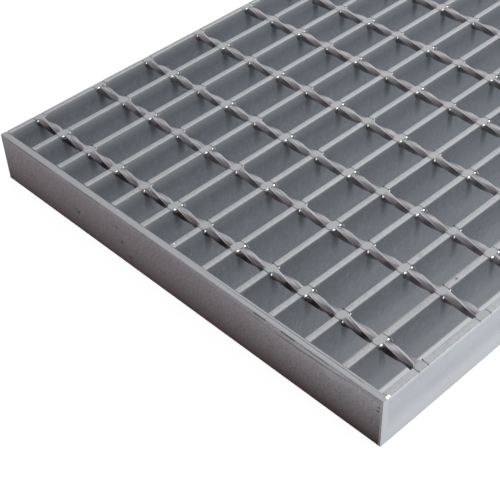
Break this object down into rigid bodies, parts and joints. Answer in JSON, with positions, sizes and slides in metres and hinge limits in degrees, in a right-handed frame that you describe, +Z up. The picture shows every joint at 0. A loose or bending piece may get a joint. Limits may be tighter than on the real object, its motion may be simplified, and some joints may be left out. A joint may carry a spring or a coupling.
{
  "type": "steel grating panel",
  "caption": "Forge-welded steel floor grating panel: bearing bars on edge, twisted square cross rods pressed flush into their tops, and a flat band across each end.",
  "frame": {"origin": "middle of the panel's underside, which lies on the floor", "axes": "+X across the bearing bars, +Y along the bearing bars towards the rear band, +Z up through the walking surface"},
  "size_m": [0.365, 0.6, 0.04],
  "materials": {
    "bar_steel": "bare mill-finish flat steel, satin, with bright worn edges",
    "band_steel": "bare hot-rolled flat steel, dull, with ground weld seams"
  },
  "bodies": {
    "root": {"bar_grid": "bar_steel", "front_band": "band_steel", "rear_band": "band_steel"}
  },
  "joints": []
}
